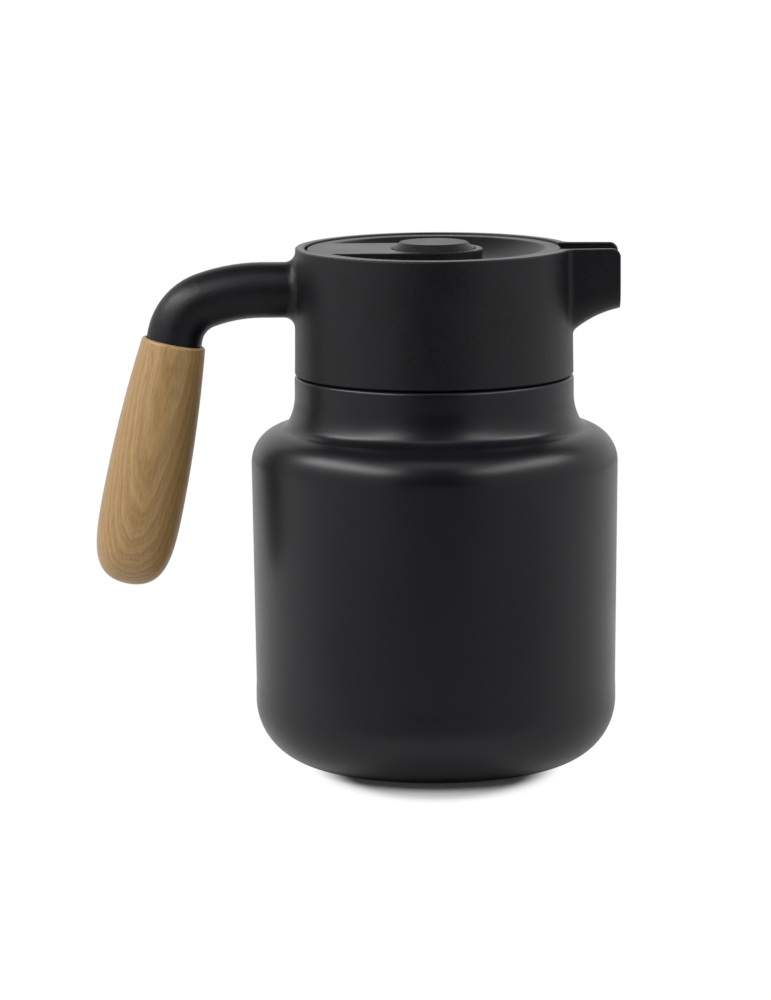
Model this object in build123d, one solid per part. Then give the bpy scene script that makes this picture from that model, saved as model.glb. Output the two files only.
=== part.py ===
from build123d import *
from math import acos, asin, atan2, cos, pi, radians, sin, sqrt
import os

# Insulated pitcher. Millimetres, +Z up. The origin is the centre of the base, on the table,
# and the spout points to +X. Each function below makes one separate piece.

# Steel flask, outside
body_radius = 66.0            # widest, where the shoulder starts
body_taper = 1.0              # how much narrower the body is at the weld of the base cup
seam_groove = 0.3             # hairline groove left at the weld
steel_wall = 0.8
shoulder_radius = 12.9        # convex arc of the shoulder
neck_fillet = 5.0             # tight concave arc at the foot of the neck
neck_flare = 16.0             # easy concave arc from there up to the straight neck
neck_flare_turn = 31.5        # degrees
neck_radius = 50.2
neck_start = 133.0            # height at which the neck runs straight up
neck_straight = 8.3           # straight neck, up to the ledge under the collar
ledge_round = 1.4
sleeve_height = 13.9          # narrow sleeve that the collar snaps over
bead_height = 7.7             # height of the snap bead above the ledge
bead_proud = 0.7

# Base cup and pad
foot_gap = 0.5                # steel foot above the table
cup_step = 0.15               # base cup proud of the shell at the weld
base_corner = 23.0            # radius between wall and foot
cup_rise = 3.0                # straight wall of the cup, from its corner up to the weld
foot_ring = 3.85              # flat steel foot round the recess of the pad
pad_gap = 0.3                 # pad to the wall of its recess
pad_thickness = 2.3
dimple_radius = 8.0
dimple_depth = 1.5
vent_radius = 1.2             # evacuation hole

# Inner flask
flask_wall = 0.7
wall_vacuum = 4.0             # vacuum space at the weld of the base cup
neck_vacuum = 0.8             # vacuum space at the sleeve
floor_height = 10.0           # underside of the flask's floor
floor_corner = 18.0
flask_shoulder = 8.5
flask_neck_fillet = 16.5
flask_neck_drop = 2.5         # the flask's neck starts this much lower than the shell's
foil_thickness = 0.3
foil_margin = 3.0             # bare flask above and below the foil

# Getter under the flask
getter_offset = 22.0          # from the pitcher's axis
getter_radius = 8.0
getter_thickness = 1.6
holder_wall = 0.6

# Collar with rim, spout and handle arm
seam_gap = 0.4                # visible gap between steel ledge and collar
collar_height = 45.6
collar_inset = 0.1            # bottom edge of the collar inside the neck's radius
collar_draft = 0.5            # narrower at the rim than at the bottom
collar_edge = 0.5             # rounding of the collar's edges
rim_wall = 3.3
skirt_wall = 3.0
snap_fit = 0.3                # collar to steel sleeve
gasket_thickness = 0.8
gasket_inset = 0.2
flange_thickness = 2.0        # inward flange that clamps on the flask's lip
flange_overhang = 1.3         # flange inside the flask's mouth

# Spout
spout_length = 17.0           # from the rim's outside to the tip
spout_tip_half = 12.0         # half width at the tip
spout_root_half = 13.2        # half width at the collar
keel_drop = 21.95             # keel below the rim at the tip
keel_radius = 33.0            # concave arc of the keel, seen from the side
keel_tip_slope = 10.3         # degrees
keel_flat_tip = 4.1           # half width of the flat keel at the tip; the rest is rounded
keel_flat_root = 0.6          # half width of the flat keel at the collar
spout_wall = 2.6
channel_root_rise = 0.7       # channel floor above the flange at the bore
spout_corner = 3.0            # rounded top corner of the tip
spout_sections = 7
root_fillet = 3.0             # spout to collar

# Handle arm
arm_radius = 10.0
arm_drop = 15.2               # centreline below the rim
arm_straight = 12.0           # from the rim's outside to the start of the bend
arm_easy_radius = 60.0
arm_easy_turn = 20.0          # degrees
arm_tight_radius = 17.0
arm_end_straight = 2.4        # from the bend to the top of the grip
arm_fillet = 3.8
grip_tilt = 11.6              # lower end of the grip leans outward, degrees from vertical

# Grip, with depths measured along its axis from its top
grip_length = 89.6
grip_rim = 1.3                # wood round the arm at the top
grip_swell = 3.2              # thickest radius over the top's radius
grip_max_depth = 59.0         # depth at which the grip is thickest
grip_lip = 1.2                # rounded lip at the top
grip_run_on = 19.6            # how far the side runs on before it turns into the end
grip_end_radius = 13.5        # fullness of the round end
socket_depth = 3.0            # arm let into the grip's top
socket_gap = 0.3
spigot_radius = 7.0
spigot_length = 24.0
spigot_gap = 0.2
stud_radius = 3.0
stud_length = 38.0
stud_engagement = 14.0        # stud inside the spigot
insert_wall = 1.5
insert_length = 18.0
insert_margin = 3.5           # wood bored past the spigot before the insert

# Stopper
lid_drop = 0.5                # lid below the rim
lid_gap = 0.8                 # lid to bore
lid_ring = 5.3                # width of the flat ring
lid_plate = 2.4               # thickness of ring and tongue
lid_lap = 4.8                 # height of the lid's outer edge
lid_edge_wall = 0.9
lid_edge = 0.35               # chamfer of the lid's upper edges
dish_depth = 7.5
dish_arc = 33.0               # radius of the dish's slope
dish_wall = 2.2
tongue_half = 17.6
tongue_wall = 2.0
thread_space = 2.0            # stopper skirt to collar bore
skirt_thickness = 2.0
seal_thickness = 1.8
seal_lip = 2.2                # seal below the flange's top
seal_gap = 0.3                # around the seal
plug_gap = 1.6                # plug to the collar's flange
plug_wall = 1.8
plug_bead = 0.8
plug_depth = 10.6             # plug below the chamber's floor
chamber_floor = 2.0
throat_radius = 12.0
throat_wall = 2.0
window_half = 13.5            # half width of the pouring window
window_sill = 0.4             # window above the chamber's floor
window_lintel = 1.5           # window cut this far up into the deck's ledge
base_thickness = 1.8
foam_gap = 0.2
weld_rib = 1.0
weld_rib_height = 2.0

# Quick thread between stopper and collar
thread_starts = 4
thread_lead = 48.0            # rise in one turn
thread_arc = 40.0             # degrees of each ridge
thread_ridge = 2.4            # height of a ridge
thread_play = 0.3             # between the flanks
thread_tip_gap = 0.4          # ridge tips to the opposite wall
thread_bite = 0.8             # ridge let into its wall
thread_middle = 10.0          # middle of the stopper's ridges above the seat
thread_azimuth = 45.0

# Valve
deck_thickness = 2.0
deck_ledge = 1.3
deck_ledge_height = 1.2
guide_radius = 5.8
guide_length = 7.5            # tube below the deck
stem_radius = 3.0
stem_gap = 0.1
gland_radius = 5.0
ring_section = 0.85
ring_height = 2.0             # spring's locating ring
ring_wall = 2.0
flange_radius = 5.0
stem_flange = 1.0
seat_overlap = 3.0            # valve disc over the rim of the throat
valve_disc_thickness = 2.0
valve_seal_thickness = 2.0
valve_seal_inset = 0.4
clip_thickness = 0.8
clip_width = 2.8
clip_gap_half = 1.2
clip_groove = 0.8
stem_tail = 1.4               # stem past the clip

# Button
button_gap = 0.5              # button to its hole
button_proud = 2.3            # top of the button above the lid
button_slope = 2.6            # how much the button narrows to its top
button_skirt = 6.8            # button's wall below the lid's top
button_wall = 1.6
button_roof = 1.8
button_boss = 5.0
button_edge = 0.6
button_travel = 4.0
travel_spare = 1.0            # left between button and spring ring when pressed
stem_short = 0.8              # stem ends this far under the button's roof
spring_play = 0.9             # spring round its locating ring
spring_wire = 1.0
spring_turns = 6

# Finding edges to round
edge_search = 0.01            # an edge this near to a height or place lies on it

# Worked out: flask heights and radii
ledge_height = neck_start + neck_straight
sleeve_top = ledge_height + sleeve_height
lip_top = sleeve_top + steel_wall
flange_bottom = lip_top + gasket_thickness
seat_height = flange_bottom + flange_thickness
collar_bottom = ledge_height + seam_gap
rim_height = collar_bottom + collar_height
seam_height = foot_gap + base_corner + cup_rise
seam_radius = body_radius - body_taper
cup_radius = seam_radius + cup_step
foot_radius = cup_radius - base_corner
recess_radius = foot_radius - foot_ring
pad_radius = recess_radius - pad_gap
flask_neck_start = neck_start - flask_neck_drop
collar_bottom_radius = neck_radius - collar_inset
collar_top_radius = collar_bottom_radius - collar_draft
bore_radius = collar_top_radius - rim_wall
collar_skirt_radius = collar_bottom_radius - skirt_wall
sleeve_radius = collar_skirt_radius - snap_fit
flask_radius = seam_radius - steel_wall - wall_vacuum
flask_neck_radius = sleeve_radius - steel_wall - neck_vacuum
flask_hollow = (flask_neck_radius + flask_neck_fillet, flask_neck_start)
mouth_radius = flask_neck_radius - flask_wall
flange_inner = mouth_radius - flange_overhang

# Worked out: spout, arm and grip
spout_start = collar_skirt_radius + collar_edge
spout_reach = collar_top_radius + spout_length
keel_tip = rim_height - keel_drop
bend_root = spout_root_half - keel_flat_root
bend_tip = spout_tip_half - keel_flat_tip
arm_start = bore_radius + rim_wall / 2
arm_height = rim_height - arm_drop
socket_radius = arm_radius + socket_gap
grip_top_radius = socket_radius + grip_rim
grip_max_radius = grip_top_radius + grip_swell
stud_start = socket_depth + spigot_length - stud_engagement
insert_start = socket_depth + spigot_length + insert_margin

# Worked out: stopper
lid_top = rim_height - lid_drop
lid_seat = lid_top - lid_plate
lid_radius = bore_radius - lid_gap
dish_radius = lid_radius - lid_ring
dish_flat_radius = dish_radius - sqrt(dish_arc ** 2 - (dish_arc - dish_depth) ** 2)
dish_centre = (dish_flat_radius, lid_top - dish_depth + dish_arc)
dish_under = lid_top - dish_depth - dish_wall
stopper_radius = bore_radius - thread_space
stopper_inner = stopper_radius - skirt_thickness
floor_bottom = seat_height + seal_thickness
floor_top = floor_bottom + chamber_floor
button_bottom = lid_top - button_skirt
ring_top = button_bottom - button_travel - travel_spare
deck_top = ring_top - ring_height
deck_bottom = deck_top - deck_thickness
lintel_height = deck_bottom - deck_ledge_height - deck_ledge
plug_radius = flange_inner - plug_gap
plug_inner = plug_radius - plug_wall
plug_bottom = floor_bottom - plug_depth
base_bottom = plug_bottom - base_thickness
throat_outer = throat_radius + throat_wall
male_radius = bore_radius - thread_tip_gap
female_radius = stopper_radius + thread_tip_gap
hole_radius = tongue_half - tongue_wall - button_gap
button_radius = hole_radius - button_gap
button_top = lid_top + button_proud
button_under = button_top - button_roof
ring_radius = gland_radius + ring_wall
spring_radius = ring_radius + spring_play + spring_wire / 2
valve_radius = throat_radius + seat_overlap
bore_stem = stem_radius + stem_gap
seal_bottom = base_bottom - valve_seal_thickness
disc_bottom = seal_bottom - valve_disc_thickness
stem_bottom = disc_bottom - clip_thickness - stem_tail
stem_top = button_under - stem_short


def polar(centre, radius, angle):
    return (centre[0] + radius * cos(angle), centre[1] + radius * sin(angle))


def arc_between(centre, radius, start, end):
    # Arc in a section, from one angle to the other, in radians.
    first = polar(centre, radius, start)
    middle = polar(centre, radius, (start + end) / 2)
    return ThreePointArc(first, middle, polar(centre, radius, end))


def turned(*lines):
    # Solid turned about the pitcher's axis from a closed section of lines, each point (radius, height).
    section = make_face(Curve() + list(lines))
    return revolve(Plane.XZ * section, Axis.Z)


def turned_outline(*points):
    return turned(Polyline(*points, close=True))


def disc(radius, bottom, top):
    return Pos(0, 0, bottom) * Cylinder(radius, top - bottom, align=(Align.CENTER, Align.CENTER, Align.MIN))


def ring(inner, outer, bottom, top):
    return disc(outer, bottom, top) - disc(inner, bottom, top)


def edges_at(body, height):
    return body.edges().filter_by_position(Axis.Z, height - edge_search, height + edge_search)


def shoulder_foot(wide, convex, concave_centre, concave):
    # Height at which the wall starts to curve in, where its two arcs meet smoothly.
    across = concave_centre[0] - wide + convex
    return concave_centre[1] - sqrt((convex + concave) ** 2 - across ** 2)


def shoulder_lines(start, wide, convex, concave_centre, concave, end=pi):
    # Wall from its start point up over the shoulder, until its concave arc has turned to its end.
    convex_centre = (wide - convex, shoulder_foot(wide, convex, concave_centre, concave))
    meet = atan2(concave_centre[1] - convex_centre[1], concave_centre[0] - convex_centre[0])
    side = Line(start, (wide, convex_centre[1]))
    crown = arc_between(convex_centre, convex, 0, meet)
    hollow = arc_between(concave_centre, concave, meet + pi, end)
    return [side, crown, hollow]


def shell_lines(start, depth):
    # The shell's wall from its start point up to the straight neck, this deep under its outer face.
    flare_centre = (neck_radius + neck_flare, neck_start)
    turn = pi + radians(neck_flare_turn)
    fillet_centre = polar(flare_centre, neck_flare - neck_fillet, turn)
    lines = shoulder_lines(
        start, body_radius - depth, shoulder_radius - depth, fillet_centre, neck_fillet + depth, turn
    )
    return lines + [arc_between(flare_centre, neck_flare + depth, turn, pi)]


def outer_shell():
    wall = steel_wall
    outside = shell_lines((seam_radius, seam_height + seam_groove), 0)
    inside = shell_lines((seam_radius - wall, seam_height), wall)
    inner_sleeve = sleeve_radius - wall
    round_centre = (neck_radius - ledge_round, ledge_height - ledge_round)
    bead_low = ledge_height + bead_height - bead_proud
    bead_high = ledge_height + bead_height + bead_proud
    shell = turned(
        *outside,
        Line((neck_radius, neck_start), (neck_radius, ledge_height - ledge_round)),
        arc_between(round_centre, ledge_round, 0, pi / 2),
        Line((neck_radius - ledge_round, ledge_height), (sleeve_radius, ledge_height)),
        Line((sleeve_radius, ledge_height), (sleeve_radius, bead_low)),
        ThreePointArc((sleeve_radius, bead_low), (sleeve_radius + bead_proud, bead_low + bead_proud),
                      (sleeve_radius, bead_high)),
        Line((sleeve_radius, bead_high), (sleeve_radius, sleeve_top)),
        Line((sleeve_radius, sleeve_top), (inner_sleeve, sleeve_top)),
        Line((inner_sleeve, sleeve_top), (inner_sleeve, ledge_height - wall)),
        Line((inner_sleeve, ledge_height - wall), (neck_radius - wall, ledge_height - wall)),
        Line((neck_radius - wall, ledge_height - wall), (neck_radius - wall, neck_start)),
        *inside,
        Line((seam_radius - wall, seam_height), (seam_radius - seam_groove, seam_height)),
        Line((seam_radius - seam_groove, seam_height), (seam_radius, seam_height + seam_groove)),
    )
    return shell


def base_cup():
    wall = steel_wall
    corner = (foot_radius, foot_gap + base_corner)
    inner_corner = base_corner - wall
    recess_top = pad_thickness
    dimple_top = recess_top + dimple_depth
    return turned(
        Line((cup_radius - wall, seam_height), (cup_radius - seam_groove, seam_height)),
        Line((cup_radius - seam_groove, seam_height), (cup_radius, seam_height - seam_groove)),
        Line((cup_radius, seam_height - seam_groove), (cup_radius, corner[1])),
        arc_between(corner, base_corner, 0, -pi / 2),
        Polyline(
            (foot_radius, foot_gap),
            (recess_radius, foot_gap),
            (recess_radius, recess_top),
            (dimple_radius, recess_top),
            (dimple_radius, dimple_top),
            (vent_radius, dimple_top),
            (vent_radius, dimple_top + wall),
            (dimple_radius + wall, dimple_top + wall),
            (dimple_radius + wall, recess_top + wall),
            (recess_radius + wall, recess_top + wall),
            (recess_radius + wall, foot_gap + wall),
            (foot_radius, foot_gap + wall),
        ),
        arc_between(corner, inner_corner, -pi / 2, 0),
        Line((cup_radius - wall, corner[1]), (cup_radius - wall, seam_height)),
    )


def base_pad():
    pad = disc(pad_radius, 0, pad_thickness)
    return chamfer(pad.edges().group_by(Axis.Z)[0], seam_groove)


def vacuum_seal():
    # Glass bead in the dimple, filling the evacuation hole.
    dimple_top = pad_thickness + dimple_depth
    bead = disc(dimple_radius / 2, pad_thickness + dimple_depth / 3, dimple_top)
    return bead + disc(vent_radius, dimple_top, dimple_top + steel_wall)


def inner_flask():
    wall = flask_wall
    corner = (flask_radius - floor_corner, floor_height + floor_corner)
    outside = shoulder_lines(
        (flask_radius, corner[1]), flask_radius, flask_shoulder, flask_hollow, flask_neck_fillet
    )
    inside = shoulder_lines(
        (flask_radius - wall, corner[1]), flask_radius - wall, flask_shoulder - wall,
        flask_hollow, flask_neck_fillet + wall
    )
    return turned(
        Line((0, floor_height), (corner[0], floor_height)),
        arc_between(corner, floor_corner, -pi / 2, 0),
        *outside,
        Polyline(
            (flask_neck_radius, flask_neck_start),
            (flask_neck_radius, sleeve_top),
            (sleeve_radius, sleeve_top),
            (sleeve_radius, lip_top),
            (mouth_radius, lip_top),
            (mouth_radius, flask_neck_start),
        ),
        *inside,
        arc_between(corner, floor_corner - wall, 0, -pi / 2),
        Polyline((corner[0], floor_height + wall), (0, floor_height + wall), (0, floor_height)),
    )


def radiation_foil():
    bottom = floor_height + floor_corner + foil_margin
    shoulder = shoulder_foot(flask_radius, flask_shoulder, flask_hollow, flask_neck_fillet)
    return ring(flask_radius, flask_radius + foil_thickness, bottom, shoulder - foil_margin)


def getter_holder():
    # Small steel tray, spot-welded under the flask's floor, open downward.
    tray = disc(getter_radius + holder_wall, floor_height - getter_thickness - holder_wall, floor_height)
    tray -= disc(getter_radius, floor_height - getter_thickness - holder_wall, floor_height - holder_wall)
    return Pos(getter_offset, 0, 0) * tray


def getter():
    top = floor_height - holder_wall
    return Pos(getter_offset, 0, 0) * disc(getter_radius, top - getter_thickness, top)


def collar_gasket():
    return ring(mouth_radius + gasket_inset, sleeve_radius - gasket_inset, lip_top, flange_bottom)


def keel_height(x):
    tip_angle = radians(keel_tip_slope)
    centre_x = spout_reach + keel_radius * sin(tip_angle)
    centre_z = keel_tip - keel_radius * cos(tip_angle)
    return centre_z + sqrt(keel_radius ** 2 - (centre_x - x) ** 2)


def spout_face(x, half, keel, bend, top):
    # Cross section of the spout: open at the top, with the sides turned under into the keel.
    left = (bend - half, keel + bend)
    right = (half - bend, keel + bend)
    section = make_face(Curve() + [
        Line((-half, top), (-half, keel + bend)),
        arc_between(left, bend, pi, 3 * pi / 2),
        Line((bend - half, keel), (half - bend, keel)),
        arc_between(right, bend, -pi / 2, 0),
        Line((half, keel + bend), (half, top)),
        Line((half, top), (-half, top)),
    ])
    return Plane(origin=(x, 0, 0), x_dir=(0, 1, 0), z_dir=(1, 0, 0)) * section


def along_spout(share, root_value, tip_value):
    return root_value + share * (tip_value - root_value)


def spout_body():
    # It starts inside the collar's wall. The line where each side turns under is straight.
    faces = []
    for number in range(spout_sections):
        share = number / (spout_sections - 1)
        x = along_spout(share, spout_start, spout_reach)
        keel = keel_height(x)
        half = along_spout(share, spout_root_half, spout_tip_half)
        turn_line = along_spout(share, keel_height(spout_start) + bend_root, keel_tip + bend_tip)
        faces.append(spout_face(x, half, keel, turn_line - keel, rim_height + spout_corner))
    return loft(faces) - disc(2 * spout_reach, rim_height, rim_height + 2 * spout_corner)


def spout_channel():
    # The space that liquid runs through, from inside the bore out past the tip.
    faces = []
    root_floor = seat_height + channel_root_rise
    tip_floor = keel_tip + spout_wall
    for x in (bore_radius - rim_wall, spout_start, spout_reach + spout_wall):
        share = max(0, (x - spout_start) / (spout_reach - spout_start))
        half = along_spout(share, spout_root_half, spout_tip_half) - spout_wall
        bend = along_spout(share, bend_root, bend_tip) - spout_wall
        floor = along_spout(share, root_floor, tip_floor)
        faces.append(spout_face(x, half, floor, bend, rim_height + spout_wall))
    return loft(faces, ruled=True)


def arm_path():
    start = Line((-arm_start, arm_height), (-collar_top_radius - arm_straight, arm_height))
    easy = JernArc(start @ 1, start % 1, arm_easy_radius, arm_easy_turn)
    tight = JernArc(easy @ 1, easy % 1, arm_tight_radius, 90 - grip_tilt - arm_easy_turn)
    end = Line(tight @ 1, tight @ 1 + (tight % 1) * (arm_end_straight + socket_depth))
    return Plane.XZ * (Curve() + [start, easy, tight, end])


def grip_plane():
    # Frame at the grip's top, with its z along the grip's axis, downward and outward.
    arm_end = arm_path().vertices().sort_by(Axis.Z)[0].center()
    tilt = radians(grip_tilt)
    axis = Vector(-sin(tilt), 0, -cos(tilt))
    return Plane(origin=arm_end - axis * socket_depth, x_dir=(0, 1, 0), z_dir=axis)


def handle_arm():
    start = Plane(origin=(-arm_start, 0, arm_height), x_dir=(0, 1, 0), z_dir=(-1, 0, 0))
    return sweep(start * Circle(arm_radius), path=arm_path().wire())


def collar_shell():
    bead_clear = bead_proud + snap_fit
    bead_middle = ledge_height + bead_height
    return turned(
        Polyline(
            (collar_skirt_radius, collar_bottom),
            (collar_bottom_radius - collar_edge, collar_bottom),
            (collar_bottom_radius, collar_bottom + collar_edge),
            (collar_top_radius, rim_height),
            (bore_radius, rim_height),
            (bore_radius, seat_height),
            (flange_inner, seat_height),
            (flange_inner, flange_bottom),
            (collar_skirt_radius, flange_bottom),
            (collar_skirt_radius, bead_middle + bead_clear),
        ),
        ThreePointArc(
            (collar_skirt_radius, bead_middle + bead_clear),
            (collar_skirt_radius + bead_proud, bead_middle),
            (collar_skirt_radius, bead_middle - bead_clear),
        ),
        Line((collar_skirt_radius, bead_middle - bead_clear), (collar_skirt_radius, collar_bottom)),
    )


def thread_ridges(inner, outer, middle):
    # Four slanting ridges, one for each start, between two radii.
    rise = thread_lead * thread_arc / 360
    ridges = []
    for number in range(thread_starts):
        azimuth = thread_azimuth + number * 360 / thread_starts - thread_arc / 2
        path = Helix(thread_lead, rise, (inner + outer) / 2)
        start = Plane(origin=path @ 0, x_dir=(1, 0, 0), z_dir=path % 0)
        ridge = sweep(start * Rectangle(outer - inner, thread_ridge), path=path, is_frenet=True)
        ridges.append(Pos(0, 0, middle - rise / 2) * Rot(0, 0, azimuth) * ridge)
    return ridges


def joined(body, added, radius):
    # Adds a solid and rounds the line where it meets the body.
    together = body + added
    return fillet(new_edges(body, added, combined=together), radius)


def collar():
    # The plain shell is turned so that its own seam line is away from spout and arm.
    body = Rot(0, 0, 90) * collar_shell()
    body = joined(body, handle_arm(), arm_fillet)
    body = joined(body, spout_body(), root_fillet)
    body = (body - spout_channel()).clean()
    tip_edges = edges_at(body, rim_height).filter_by_position(
        Axis.X, spout_reach - edge_search, spout_reach + edge_search
    )
    body = fillet(tip_edges, spout_corner)
    rim_edges = edges_at(body, rim_height).filter_by(GeomType.LINE, reverse=True)
    body = fillet(rim_edges, collar_edge)
    middle = seat_height + thread_middle + thread_ridge + thread_play
    for ridge in thread_ridges(female_radius, bore_radius + thread_bite, middle):
        body = body + ridge
    place = grip_plane()
    spigot_end = socket_depth + spigot_length
    body = body + place * disc(spigot_radius, socket_depth, spigot_end)
    return body - place * disc(stud_radius, stud_start, spigot_end)


def grip():
    # The side is one arc that runs parallel to the axis where the grip is thickest.
    rise = grip_max_depth - grip_lip
    side_radius = (rise ** 2 + grip_swell ** 2) / (2 * grip_swell)
    side_centre = (grip_max_radius - side_radius, grip_max_depth)
    lip_centre = (grip_top_radius - grip_lip, grip_lip)
    bore = spigot_radius + spigot_gap
    insert_radius = stud_radius + insert_wall
    insert_end = insert_start + insert_length
    drill = stud_radius + spigot_gap
    drill_end = stud_start + stud_length + spigot_gap
    wood = turned(
        Line((socket_radius, 0), (grip_top_radius - grip_lip, 0)),
        arc_between(lip_centre, grip_lip, -pi / 2, 0),
        arc_between(side_centre, side_radius, -asin(rise / side_radius), 0),
        Bezier(
            (grip_max_radius, grip_max_depth),
            (grip_max_radius, grip_max_depth + grip_run_on),
            (grip_end_radius, grip_length),
            (0, grip_length),
        ),
        Polyline(
            (0, grip_length),
            (0, drill_end),
            (drill, drill_end),
            (drill, insert_end),
            (insert_radius, insert_end),
            (insert_radius, insert_start),
            (bore, insert_start),
            (bore, socket_depth),
            (socket_radius, socket_depth),
            (socket_radius, 0),
        ),
    )
    return grip_plane() * wood


def grip_insert():
    outer = stud_radius + insert_wall
    return grip_plane() * ring(stud_radius, outer, insert_start, insert_start + insert_length)


def grip_stud():
    stud = disc(stud_radius, stud_start, stud_start + stud_length)
    return grip_plane() * chamfer(stud.edges().group_by(Axis.Z)[-1], seam_groove)


def stopper_body():
    bead_middle = seat_height - seal_lip - plug_bead
    ledge_inner = stopper_inner - deck_ledge
    shell = turned_outline(
        (plug_inner, plug_bottom),
        (plug_radius, plug_bottom),
        (plug_radius, bead_middle - plug_bead),
        (plug_radius + plug_bead, bead_middle),
        (plug_radius, bead_middle + plug_bead),
        (plug_radius, floor_bottom),
        (stopper_radius, floor_bottom),
        (stopper_radius, lid_seat),
        (stopper_inner, lid_seat),
        (stopper_inner, deck_bottom),
        (ledge_inner, deck_bottom),
        (ledge_inner, deck_bottom - deck_ledge_height),
        (stopper_inner, lintel_height),
        (stopper_inner, floor_top),
        (throat_outer, floor_top),
        (throat_outer, floor_bottom),
        (plug_inner, floor_bottom),
    )
    sill = floor_top + window_sill
    window = Pos(stopper_radius, 0, sill) * Box(
        4 * skirt_thickness, 2 * window_half, lintel_height + window_lintel - sill,
        align=(Align.CENTER, Align.CENTER, Align.MIN)
    )
    shell = shell - window
    for ridge in thread_ridges(stopper_radius - thread_bite, male_radius, seat_height + thread_middle):
        shell = shell + ridge
    return shell


def throat_tube():
    # Bonded into the floor of the stopper, and standing on its base.
    return ring(throat_radius, throat_outer, plug_bottom, floor_top)


def stopper_base():
    plate = ring(throat_radius, plug_radius, base_bottom, plug_bottom)
    rib_outer = plug_inner - foam_gap
    return plate + ring(rib_outer - weld_rib, rib_outer, plug_bottom, plug_bottom + weld_rib_height)


def stopper_foam():
    outer = plug_inner - weld_rib - 2 * foam_gap
    return ring(throat_outer + foam_gap, outer, plug_bottom, floor_bottom - foam_gap)


def stopper_seal():
    lip_outer = flange_inner - seal_gap
    inner = plug_radius + seal_gap
    return turned_outline(
        (inner, seat_height - seal_lip),
        (lip_outer - seal_gap, seat_height - seal_lip),
        (lip_outer, seat_height - seal_lip + 2 * seal_gap),
        (lip_outer, seat_height),
        (stopper_radius, seat_height),
        (stopper_radius, floor_bottom),
        (inner, floor_bottom),
    )


def valve_guide():
    tube_end = deck_bottom - guide_length
    deck = disc(stopper_inner - seam_groove, deck_bottom, deck_top)
    deck += disc(guide_radius, tube_end, deck_bottom)
    deck += ring(gland_radius, ring_radius, deck_top, ring_top)
    deck -= disc(bore_stem, tube_end, deck_top)
    return deck - disc(gland_radius, deck_bottom, deck_top)


def stem_seal():
    middle = (stem_radius + gland_radius) / 2 + stem_gap / 2
    return Pos(0, 0, deck_bottom + ring_section) * Torus(middle, ring_section)


def button_spring():
    start = deck_top + spring_wire / 2
    height = button_under - spring_wire / 2 - start
    path = Pos(0, 0, start) * Helix(height / spring_turns, height, spring_radius)
    section = Plane(origin=path @ 0, x_dir=(1, 0, 0), z_dir=path % 0) * Circle(spring_wire / 2)
    return sweep(section, path=path, is_frenet=True)


def lid_cover():
    bottom = lid_top - lid_lap
    cover = disc(lid_radius, dish_under, lid_top)
    low_angle = -pi / 2
    rim_angle = -acos((dish_radius - dish_centre[0]) / dish_arc)
    recess = turned(
        Line((0, lid_top), (0, lid_top - dish_depth)),
        Line((0, lid_top - dish_depth), (dish_centre[0], lid_top - dish_depth)),
        arc_between(dish_centre, dish_arc, low_angle, rim_angle),
        Line((dish_radius, lid_top), (0, lid_top)),
    )
    length = dish_radius * 2
    tongue = disc(tongue_half, dish_under, lid_top)
    tongue += Pos(-length / 2, 0, dish_under) * Box(
        length, 2 * tongue_half, lid_top - dish_under, align=(Align.CENTER, Align.CENTER, Align.MIN)
    )
    cover -= recess - tongue
    # Underside: the space outside the dish, up to the ring.
    back_arc = dish_arc + dish_wall
    seat_angle = -pi / 2 + acos((dish_centre[1] - lid_seat) / back_arc)
    under = turned(
        arc_between(dish_centre, back_arc, low_angle, seat_angle),
        Polyline(
            polar(dish_centre, back_arc, seat_angle),
            (lid_radius - lid_edge_wall, lid_seat),
            (lid_radius - lid_edge_wall, bottom),
            (lid_radius, bottom),
            (lid_radius, dish_under),
            (dish_centre[0], dish_under),
        ),
    )
    cover -= under
    inside = tongue_half - tongue_wall
    hollow = disc(inside, dish_under, lid_seat)
    hollow += Pos(-length / 2, 0, dish_under) * Box(
        length, 2 * inside, lid_seat - dish_under, align=(Align.CENTER, Align.CENTER, Align.MIN)
    )
    cover -= hollow & disc(dish_radius - dish_wall, dish_under, lid_seat)
    cover -= disc(hole_radius, dish_under, lid_top)
    return chamfer(edges_at(cover, lid_top), lid_edge)


def button():
    inner = button_radius - button_wall
    top_radius = button_radius - button_slope
    cap = turned_outline(
        (inner, button_bottom),
        (button_radius, button_bottom),
        (button_radius, lid_top),
        (top_radius, button_top),
        (0, button_top),
        (0, stem_top),
        (stem_radius, stem_top),
        (stem_radius, button_bottom),
        (button_boss, button_bottom),
        (button_boss, button_under),
        (inner, button_under),
    )
    return fillet(cap.edges().group_by(Axis.Z)[-1], button_edge)


def valve_stem():
    groove_top = disc_bottom
    groove_bottom = disc_bottom - clip_thickness
    stem = disc(stem_radius, stem_bottom, stem_top)
    stem += disc(flange_radius, base_bottom, base_bottom + stem_flange)
    return stem - ring(stem_radius - clip_groove, stem_radius, groove_bottom, groove_top)


def valve_disc():
    plate = ring(stem_radius, valve_radius, disc_bottom, seal_bottom)
    return chamfer(plate.edges().group_by(Axis.Z)[0].sort_by(Axis.X)[-1], seam_groove)


def valve_seal():
    return ring(stem_radius, valve_radius - valve_seal_inset, seal_bottom, base_bottom)


def retaining_clip():
    inner = stem_radius - clip_groove
    outer = inner + clip_width
    clip = ring(inner, outer, disc_bottom - clip_thickness, disc_bottom)
    mouth = Pos(outer / 2, 0, disc_bottom) * Box(outer, 2 * clip_gap_half, 4 * clip_thickness)
    return clip - mouth


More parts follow.
